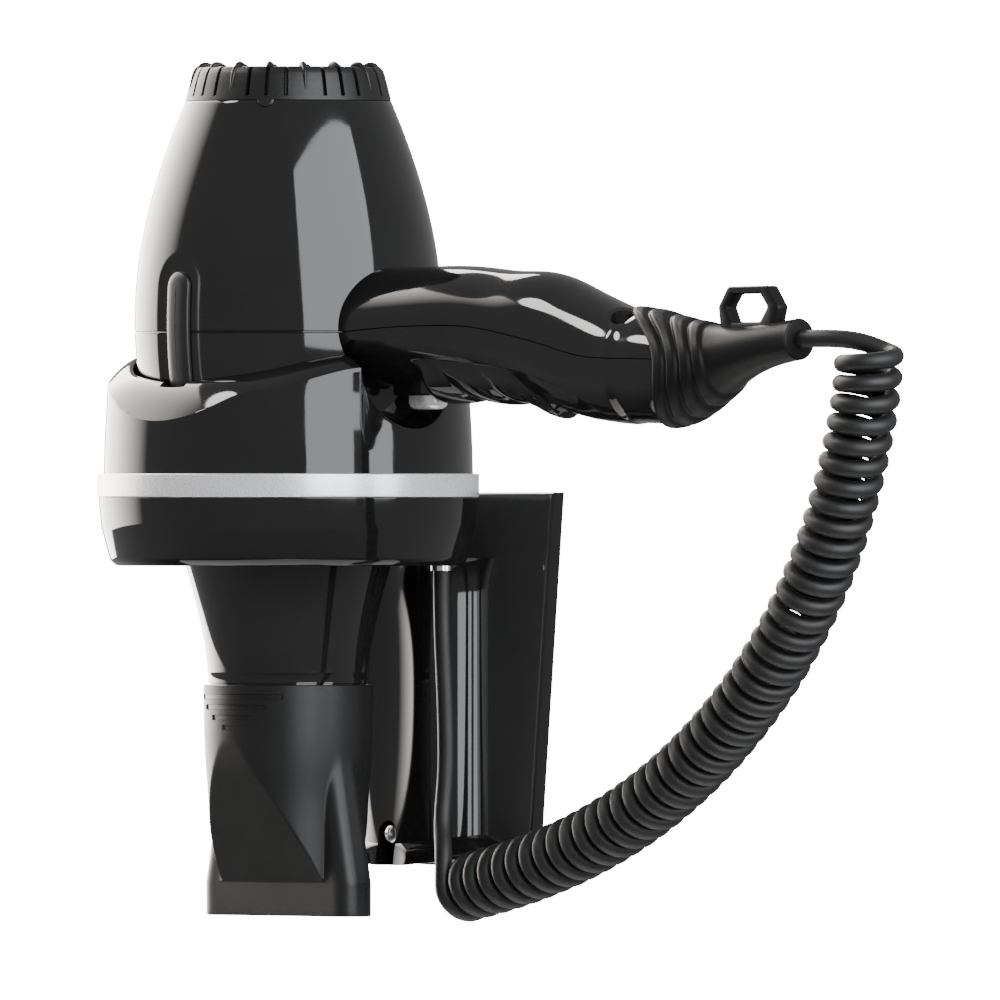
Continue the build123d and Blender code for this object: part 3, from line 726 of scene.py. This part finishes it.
def nozzle_radius(turn, z, inset):
    """Distance from the axis to the nozzle's surface at a turn and height."""
    z_in = np.clip(z, NOZZLE[-1][0], NOZZLE[0][0])
    body, flank = (curve_through(NOZZLE[::-1], z_in[:1]) - inset)[0]
    flat = flank / np.maximum(np.abs(np.sin(turn)), 1e-3)
    part = np.clip((WEDGE_START - z) / MOUTH_RUN, 0, 1)
    length = 24.2 + 7.8 * part - inset
    thick = 6.5 - inset
    mouth = stadium_radius(turn, length, thick, min(5.0, thick - 0.3))
    wide = soft_min(body, flat, 0.10)
    # each form counts for nothing beyond its end
    wide = np.where(z < MOUTH_START, 0.5, wide)
    mouth = np.where(z > WEDGE_START, 0.5, mouth)
    return soft_max(wide, mouth, 0.28)


def groove_depth(turn, z):
    """Four shortening grooves on each wide side."""
    away = np.degrees(np.abs(np.abs(np.arctan2(np.sin(turn), np.cos(turn))) - math.pi / 2))
    depth = np.zeros_like(away)
    for k, half_angle in enumerate((42, 30, 18, 6)):
        level = -7.9 - GROOVE_STEP * k
        depth = np.maximum(depth, (np.abs(z - level) < 0.76) * (away < half_angle))
    return 0.5 * depth


def nozzle_part():
    """Concentrator: round socket, two wedge faces and a wide slot mouth, hollow all through."""
    turn = full_turn(480)
    # each groove's edges get rings just inside and just outside it
    lines = [edge - GROOVE_STEP * k for k in range(GROOVES) for edge in (-8.7, -8.62, -7.18, -7.1)]
    down = np.concatenate([np.arange(-4.6, -24, -0.5), np.arange(-24, -63, -0.5),
                           [-63.3, -63.5, MOUTH_START, -63.61, -64.2],
                           np.arange(-65, -73.2, -1.0), lines])
    wall = 1.8
    # height and inset, down the outside, round the mouth and up the inside
    stations = [(-4.35, 0.45), (-4.4, 0.2)]
    stations += [(z, 0.0) for z in np.unique(down)[::-1]]
    stations += [(MOUTH_Z + 0.15, 0.05), (MOUTH_Z, 0.3), (MOUTH_Z, 1.6)]
    stations += [(z, wall) for z in np.arange(MOUTH_Z + 0.4, -64, 2.0)]
    stations += [(z, wall) for z in np.arange(-63, -5, 1.5)]
    stations += [(-4.35, 1.5)]
    rings = []
    for z, inset in stations:
        height = np.full(len(turn), float(z))
        radius = nozzle_radius(turn, height, inset)
        if inset <= 0.6:
            radius = radius - groove_depth(turn, height)
        rings.append(level_ring(radius, turn, z))
    return skin(rings, wrap_rows=True)


# rear cap: height, radius
CAP = [(170.6, 30.9), (172, 30.6), (174, 30.1), (176, 29.6), (178, 29.0), (179, 28.65), (180, 28.1),
       (180.5, 27.6), (180.8, 26.6)]
CAP_PLACES = 32
PLACE = 360 / CAP_PLACES


def cap_part():
    """Rear cap's wall: thirty-two places round it, with a slit at each but every fourth."""
    slit_half, slit_depth, slit_low = 0.55, 1.7, 172.2
    turn = full_turn(CAP_PLACES * 18)
    z = np.concatenate([[BARREL_TOP, 170.75], np.arange(171, 180.2, 0.3),
                        [180.3, 180.5, 180.65, 180.75, 180.8]])
    radius = edge_of(CAP, z)
    radius[0] -= 0.3
    place = (np.degrees(turn) - PLACE) / PLACE
    near = np.abs(place - np.round(place)) * PLACE / 360 * 2 * math.pi * 28.5
    slit = (np.round(place).astype(int) % 4 != 0) & (near < slit_half)
    rings = [level_ring(r - slit_depth * slit * (level > slit_low), turn, level)
             for r, level in zip(radius, z)]
    rings += [level_ring(r, turn, level)
              for r, level in ((20.5, 180.8), (20.2, 180.6), (20.2, 178.6), (24.0, 178.4),
                               (26.6, 177.6), (27.4, 174), (28.6, BARREL_TOP))]
    return skin(rings, wrap_rows=True)


def bar(line, radius, sides):
    """A short round bar along a line; radius is one number or one per point."""
    line = np.asarray(line, dtype=float)
    tangent = np.gradient(line, axis=0)
    tangent /= np.linalg.norm(tangent, axis=1)[:, None]
    up = np.array((0.02, 0.03, 1.0)) if abs(tangent[0, 2]) < 0.8 else np.array((1.0, 0.02, 0.03))
    a = np.cross(tangent, up)
    a /= np.linalg.norm(a, axis=1)[:, None]
    return skin(rings_round(line, radius, a, np.cross(tangent, a), sides))


def cap_fins():
    """Ribs over the cap's edge, every other one running on down the side, and the top grille."""
    spokes = [math.radians(PLACE + 2 * PLACE * k) for k in range(CAP_PLACES // 2)]
    fins = []
    for k, angle in enumerate(spokes):
        # radius, height and thickness along the rib
        reach = [(22.6, 179.9, 0.3), (23.0, 180.4, 0.75), (23.8, 181.0, 0.95), (24.8, 181.3, 0.95),
                 (25.7, 181.3, 0.95), (26.4, 181.1, 0.9), (27.0, 180.6, 0.75)]
        if k % 2 == 0:
            reach += [(27.7, 180.1, 0.78), (28.35, 179.2, 0.8), (28.8, 178, 0.72),
                      (29.35, 176.4, 0.55), (29.75, 175, 0.38), (30.0, 174, 0.2),
                      (30.1, 173.4, 0.05)]
        else:
            reach += [(27.1, 180.3, 0.3)]
        line = [(r * math.cos(angle), r * math.sin(angle), z) for r, z, _ in reach]
        fins.append(bar(line, [thick for _, _, thick in reach], 12))
    # two rings, a hub and straight bars between the hub and the wall
    for r in (5.0, 12.0):
        square = [(r - 0.8, 179), (r + 0.8, 179), (r + 0.8, 180.4), (r - 0.8, 180.4)]
        fins.append(lathe(rounded(square, 0.3, 3), 96))
    fins.append(lathe([(0.01, 179.0), (5.0, 179.0), (5.0, 180.1), (4.4, 180.3), (0.01, 180.5)], 96))
    for angle in spokes:
        line = [(r * math.cos(angle), r * math.sin(angle), 179.8) for r in np.linspace(4.6, 21, 6)]
        fins.append(bar(line, 0.7, 8))
    return fins


def cap_tab():
    """Half-round tab on the cap's edge that shows which way it turns."""
    angle = math.radians(-5 * PLACE)
    out = (math.cos(angle), math.sin(angle))
    along_edge = (-math.sin(angle), math.cos(angle))
    turn = np.linspace(math.pi, 2 * math.pi, 24)
    rings = []
    for inset, lift in ((0, -1.0), (0, 0.35), (0.3, 0.6), (1.0, 0.68), (2.2, 0.7)):
        side = (2.6 - inset) * np.cos(turn)
        level = 170.75 + (2.1 - 0.8 * inset) * np.sin(turn)
        radius = barrel_radius(np.clip(level, 0, BARREL_TOP)) + lift
        rings.append(np.stack([radius * out[0] + side * along_edge[0],
                               radius * out[1] + side * along_edge[1], level], 1))
    return skin(rings)


# ---------- holder

PLATE_FRONT = 59
FOOT_Z, FOOT_CURVE = -59, 0.0045
RING_OUT, RING_IN = 54.3, 47.6
NOTCH_HALF, NOTCH_LEVEL = 18.6, 92.4
SLOT_HALF = 5.3
# the ring's rim: distance towards the wall, height; its walls: height, radius
RIM = [(-70, 62), (-58, 74.6), (-54.3, 78.6), (-50.5, 82.9), (-46.8, 86.1), (-41.7, 88),
       (-30.4, 91.5), (-22.9, 93.6), (-12, 94.7), (0, 95), (70, 95)]
SHELL_OUT = [(58.9, 55.4), (66, 55.25), (72, 55.0), (78, 54.65), (84, 54.3), (100, 54.3)]
SHELL_IN = [(60, 42.3), (66, 42.3), (76, 44.5), (82, 45.7), (88, 46.5), (94, 46.9), (100, 47.0)]


def rim_height(y):
    """Height of the ring's rim at a distance towards the wall."""
    return curve_through(RIM, y.ravel())[:, 0].reshape(y.shape)


def notch_height(x, y):
    """Floor of the U-shaped notch that the handle drops into, on the handle's side only."""
    inside = (np.abs(y) < NOTCH_HALF) & (x > 0)
    floor = NOTCH_LEVEL - np.sqrt(np.clip(NOTCH_HALF ** 2 - y ** 2, 0, None))
    return np.where(inside, floor, 130.0)


def shell_turns():
    """Angles round the ring, closer together at the notch's and the slots' edges."""
    turn = list(full_turn(420))
    for radius in (RING_IN, 50.5, RING_OUT):
        spread = math.asin(NOTCH_HALF / radius)
        turn += [side * spread + d for side in (-1, 1) for d in np.linspace(-0.012, 0.012, 13)]
    turn += list(np.arcsin(0.343 * np.sin(np.linspace(-1.55, 1.55, 90))))
    for middle in (-math.pi / 2, math.pi / 2):
        for side in (-1, 1):
            turn += [middle + side * SLOT_HALF / RING_IN + d for d in np.linspace(-0.014, 0.014, 9)]
    return np.unique(np.round(np.mod(turn, 2 * math.pi), 5))


def shell_section(c, s):
    """The ring's (radius, z) section in one direction, given by its cosine and sine."""
    wall_foot, inner_foot, slot_floor = 58.9, 66.0, 81.9

    def top(r):
        return soft_min(rim_height(r * s), notch_height(r * c, r * s), 0.35)

    # the rim is rounded over less in the notch than round the ring
    lip = 1.6 if c > 0 and abs(RING_OUT * s) < NOTCH_HALF else 3.7
    z_edge = float(top(np.array([RING_OUT]))[0]) - lip
    r_edge = float(edge_of(SHELL_OUT, z_edge))
    z_wall = wall_foot + np.linspace(0, 1, 24) * (z_edge - 0.25 - wall_foot)
    r_in = float(edge_of(SHELL_IN, min(float(top(np.array([RING_IN]))[0]), 94)))
    radii = r_edge - 0.12 + (r_in - r_edge + 0.12) * np.linspace(0, 1, 26) ** 1.4
    part = np.clip((radii - r_in - 0.8) / (r_edge - r_in - 0.8), 0, 1)
    z_top = top(radii) - lip * part ** 1.7
    # a slot at each side clears the dryer's side strips
    slot = (np.abs(radii * c) < SLOT_HALF) & (radii < 48.4)
    z_top = np.where(slot, np.minimum(z_top, slot_floor), z_top)
    z_top[-1] -= 0.3
    z_inner = z_top[-1] - 0.3 + (inner_foot - z_top[-1] + 0.3) * np.linspace(0, 1, 14)
    outline = [*zip(edge_of(SHELL_OUT, z_wall), z_wall), *zip(radii, z_top),
               *zip(edge_of(SHELL_IN, z_inner), z_inner)]
    return outline + [(52.2, inner_foot), (52.2, 51.8), (54.8, 51.8), (54.8, wall_foot)]


def shell_part():
    """Upper ring: outer wall, rounded sloping rim with its notch and slots, and inner wall."""
    rings = []
    for angle in shell_turns():
        c, s = math.cos(angle), math.sin(angle)
        rings.append([(r * c, r * s, z) for r, z in shell_section(c, s)])
    return skin(rings, wrap_rows=True)


def skirt_part():
    """Lower ring below the trim band, with a floor round the opening for the barrel."""
    outline = rounded([(57.0, 51.8, 0.3), (56.2, 43.0, 14), (53.5, 32.9, 3.2), (51.6, 31.3, 2.0),
                       (36.5, 31.3, 0.8), (36.5, 34.3, 0.4), (50.6, 34.3, 0.6), (53.2, 43.0, 4),
                       (54.0, 51.8, 0.2)], 0.4, 8)
    return lathe(outline, 400)


def plate_outline():
    """Outline of the wall plate: straight tapering sides and a curved foot."""
    foot_half, foot_side, top_half, top_z = 43.7, -50.4, 53, 53.3
    foot = [(x, FOOT_Z + 8.6 * (x / foot_half) ** 2)
            for x in np.linspace(foot_half, -foot_half, 61)]
    up = np.linspace((-foot_half, foot_side), (-top_half, top_z), 40)[1:].tolist()
    top = np.linspace((-top_half, top_z), (top_half, top_z), 30)[1:].tolist()
    down = np.linspace((top_half, top_z), (foot_half, foot_side), 40)[1:-1].tolist()
    return np.array(foot + up + top + down)


def inset_outline(outline, amount):
    """Moves a closed outline inward along its own normals."""
    ahead = np.roll(outline, -1, axis=0) - np.roll(outline, 1, axis=0)
    ahead /= np.linalg.norm(ahead, axis=1)[:, None]
    normal = np.stack([ahead[:, 1], -ahead[:, 0]], 1)
    return outline + amount * normal


def plate_part():
    """Wall plate, five thick, its front edge rounded."""
    edge = ((0.3, -AXIS_Y), (0.0, 63.8), (0.0, 60.4), (0.12, 59.8), (0.45, 59.3), (0.9, 59.06),
            (1.5, PLATE_FRONT))
    return skin([upright(inset_outline(plate_outline(), inset), y) for inset, y in edge])


# the column's scoop: height, radius about the dryer's axis
SCOOP = [(-64, 39.0), (-53, 40.6), (-30, 42.9), (-10, 43.5), (12, 43.0), (33, 40.8)]
SCREW_Z = -49.5
RECESS_HALF, RECESS_Y = 3.8, 44.9


def swept_front(half_x, half_y, z):
    """Front line of the column at one height: half an ellipse, scooped for the nozzle."""
    turn = np.linspace(-math.pi / 2, math.pi / 2, 361)
    c, s = np.cos(turn), np.sin(turn)
    oval = 1 / np.sqrt((s / half_x) ** 2 + (c / half_y) ** 2)
    r = float(curve_through(SCOOP, [np.clip(z, SCOOP[0][0], SCOOP[-1][0])])[0, 0])
    under = r * r - (PLATE_FRONT * s) ** 2
    scoop = np.where(under > 0, PLATE_FRONT * c - np.sqrt(np.clip(under, 0, None)), 90.0)
    reach = soft_min(oval, scoop, 0.22)
    return reach * s, PLATE_FRONT - reach * c


def cut_and_close(x, y, in_recess):
    """Cuts the screw's recess into a front line and closes the line inside the wall plate."""
    y = np.where(in_recess & (y < RECESS_Y), RECESS_Y, y)
    back = np.linspace(x[-1], x[0], 12)[1:-1]
    return np.concatenate([x, back]), np.concatenate([y, np.full(len(back), 60.5)])


def column_part():
    """Column between plate and ring, scooped in front, with the screw's U-shaped recess."""
    rings = []
    for z in np.concatenate([np.arange(FOOT_Z, -42, 0.3), np.arange(-42, 24, 2.0),
                             np.arange(24, 34, 0.5)]):
        # widens a little where it meets the ring
        flare = 0.9 * (max(0, z - 22) / 11) ** 2.2
        x, y = swept_front(25.0 + 3.2 * flare, 18.4 + 3.0 * flare, z)
        x, y = cut_and_close(x, y, np.hypot(x, max(0, z - SCREW_Z)) < RECESS_HALF)
        foot = FOOT_Z + FOOT_CURVE * x ** 2 + 0.002 * (z - FOOT_Z)
        rings.append(np.stack([x, y, np.maximum(z, foot)], 1))
    return skin(rings)


def chin_part():
    """Rounded swell at the column's foot, cut off along the plate's curved edge."""
    rings = []
    for tilt in np.linspace(-0.06, math.pi / 2 - 0.03, 46):
        level = -58 + 11.2 * math.sin(tilt)
        x, y = swept_front(37.5 * math.cos(tilt), 21.1 * math.cos(tilt), level)
        z = np.maximum(level, FOOT_Z + FOOT_CURVE * x ** 2)
        z = np.concatenate([z, np.linspace(z[-1], z[0], 12)[1:-1]])
        x, y = cut_and_close(x, y, np.abs(x) < RECESS_HALF)
        rings.append(np.stack([x, y, z], 1))
    return skin(rings)


def screw_part():
    """Domed cross-head screw that holds the cover."""
    head, face = 2.75, 42.6
    turn = full_turn(96)
    profile = [(1.4, 50), (1.4, 45.0), (2.6, RECESS_Y), (head, 44.6), (head, face)]
    profile += [(head * math.cos(a), face - 1.1 * math.sin(a)) for a in np.linspace(0.12, 1.5, 22)]
    rings = []
    for r, y in profile:
        x, z = r * np.cos(turn), r * np.sin(turn)
        cross = np.minimum(np.abs(x), np.abs(z)) < 0.36
        deep = cross & (r < 1.75) & (y < face)
        rings.append(np.stack([x, y + 0.9 * deep, SCREW_Z + z], 1))
    return skin(rings)


def add_dryer():
    """Everything seen of the dryer."""
    # the collar that the nozzle turns on
    collar = [(21.2, -12.0), (23.4, -12.0), (23.4, -4.05), (23.85, -4.05), (24.0, -3.9),
              (24.0, -0.9)]
    lower = barrel_part(BARREL_FOOT, SEAM_Z - SEAM_HALF, collar)
    upper = barrel_part(SEAM_Z + SEAM_HALF, BARREL_TOP)
    front = join(lower, handle_part(False), bezel_part())
    rear = join(upper, handle_part(True))
    cap = join(cap_part(), cap_tab(), *cap_fins())
    add_piece("front_shell", front, "dryer", "front_housing", "gloss_black")
    add_piece("rear_shell", rear, "dryer", "rear_housing", "gloss_black")
    add_piece("strip_front", strip_part(-1), "dryer", "side_strip_front", "strip_black")
    add_piece("strip_back", strip_part(1), "dryer", "side_strip_back", "strip_black")
    add_piece("boot", join(boot_part(), loop_part()), "dryer", "cord_boot", "matte_rubber")
    add_piece("concentrator", nozzle_part(), "nozzle", "nozzle", "matte_black")
    add_piece("cap", cap, "rear_cap", "rear_cap", "matte_black")
    add_piece("button_face", button_part(), "button", "power_button", "button_silver")


def add_holder():
    """Everything seen of the wall holder."""
    band = rounded([(54.9, 51.85), (57.2, 51.85), (57.2, 58.9), (54.9, 58.9)], 0.45, 6)
    body = join(skirt_part(), plate_part(), column_part(), chin_part())
    # the body's plastic carries a painted reflection, its colour paler towards the wall plate's
    # front face
    sheen_painted_plastic = painted_wall_sheen(plastic("holder_black_painted_sheen", *PLASTICS["gloss_black"]), 0.007, 0.05)
    add_piece("shell", shell_part(), "holder", "ring_shell", "gloss_black")
    add_piece("band", lathe(band, 400), "holder", "trim_band", "silver_trim")
    add_piece("body", body, "holder", "holder_body", "gloss_black", sheen_painted_plastic)
    add_piece("screw", screw_part(), "holder", "cover_screw", "screw_silver")


add_dryer()
add_holder()


# ---------- studio

CENTRE = Vector((0.05, -0.06, 0.05))
COOL, WARM, NEUTRAL = (0.92, 0.95, 1.0), (1.0, 0.94, 0.88), (1.0, 0.98, 0.95)


def panel(name, turns, rises, radiance, colour, plane=None):
    """A softbox between two turns to the camera's right and two rises, in degrees.

    It lies in the plane that faces the middle at its own centre, or at the stated turn and rise.
    """
    distance = 2.2
    turn, rise = plane or (sum(turns) / 2, sum(rises) / 2)
    around, up = VIEW_TURN + math.radians(turn), math.radians(rise)
    out = Vector((math.sin(around) * math.cos(up), -math.cos(around) * math.cos(up), math.sin(up)))
    right = Vector((math.cos(around), math.sin(around), 0))
    above = out.cross(right)
    u0, u1 = (distance * math.cos(up) * math.tan(math.radians(a - turn)) for a in turns)
    v0, v1 = (distance * math.tan(math.radians(a - rise)) for a in rises)
    data = bpy.data.lights.new(name, "AREA")
    data.shape = "RECTANGLE"
    data.size, data.size_y = u1 - u0, v1 - v0
    data.energy = radiance * math.pi * data.size * data.size_y
    data.color = colour
    light = bpy.data.objects.new(name, data)
    bpy.context.collection.objects.link(light)
    light.location = CENTRE + distance * out
    aim(light, CENTRE)
    light.location += (u0 + u1) / 2 * right + (v0 + v1) / 2 * above
    return light


def fade(light):
    """Lets a bank's light grow from nothing at its near end to full by its middle."""
    light.data.use_nodes = True
    tree = light.data.node_tree
    parts = new_node(tree, "SeparateXYZ")
    grow = new_node(tree, "MapRange", {"From Min": 1.0, "From Max": 0.45})
    tree.links.new(new_node(tree, "NewGeometry").outputs["Parametric"], parts.inputs[0])
    tree.links.new(parts.outputs[0], grow.inputs["Value"])
    tree.links.new(grow.outputs["Result"], tree.nodes["Emission"].inputs["Strength"])


def add_lights():
    """A bank at the right on two legs, a bank at the left that fades forward, a round one."""
    plane, radiance = (39, 18), 6.5
    panel("softbox_right", (8.7, 70), (6, 43), radiance, COOL, plane)
    panel("softbox_right_leg_a", (8.7, 41.5), (-6, 6), radiance, COOL, plane)
    panel("softbox_right_leg_b", (48, 71), (-6, 6), radiance, COOL, plane)
    fade(panel("softbox_left", (-168, -97), (-9, 47), 13, WARM))
    panel("softbox_round", (-97, -80), (40, 55), 16, NEUTRAL).data.shape = "ELLIPSE"


def add_world():
    """White where the camera sees it; elsewhere a soft grey room, darker towards the floor."""
    world = bpy.data.worlds.new("studio")
    world.use_nodes = True
    tree = world.node_tree
    tree.nodes.clear()
    seen = new_node(tree, "Background", {"Color": (1, 1, 1, 1), "Strength": 16.0})
    room = new_node(tree, "Background", {"Color": (1, 1, 1, 1)})
    axes = new_node(tree, "SeparateXYZ")
    level = new_node(tree, "MapRange",
                     {"From Min": -0.75, "From Max": -0.42, "To Min": 0.06, "To Max": 0.4})
    mix = new_node(tree, "MixShader")
    tree.links.new(new_node(tree, "TexCoord").outputs["Generated"], axes.inputs["Vector"])
    tree.links.new(axes.outputs["Z"], level.inputs["Value"])
    tree.links.new(level.outputs["Result"], room.inputs["Strength"])
    tree.links.new(new_node(tree, "LightPath").outputs["Is Camera Ray"], mix.inputs["Fac"])
    tree.links.new(room.outputs["Background"], mix.inputs[1])
    tree.links.new(seen.outputs["Background"], mix.inputs[2])
    tree.links.new(mix.outputs["Shader"], new_node(tree, "OutputWorld").inputs["Surface"])
    bpy.context.scene.world = world


def add_floor():
    """A pale floor, well below the holder as it hangs on a wall."""
    material, tree, shader = new_material("floor_paint")
    ramp(tree, noise(tree, 3), 0.72, 0.76, shader.inputs["Base Color"])
    set_inputs(shader, {"Roughness": 0.8})
    mesh = bpy.data.meshes.new("floor")
    reach, level = 1.0, -1.30
    corners = [(-reach, -reach), (reach, -reach), (reach, reach), (-reach, reach)]
    mesh.from_pydata([(x, y, level) for x, y in corners], [], [(0, 1, 2, 3)])
    mesh.materials.append(material)
    floor = bpy.data.objects.new("floor", mesh)
    bpy.context.collection.objects.link(floor)


add_lights()
add_world()
add_floor()
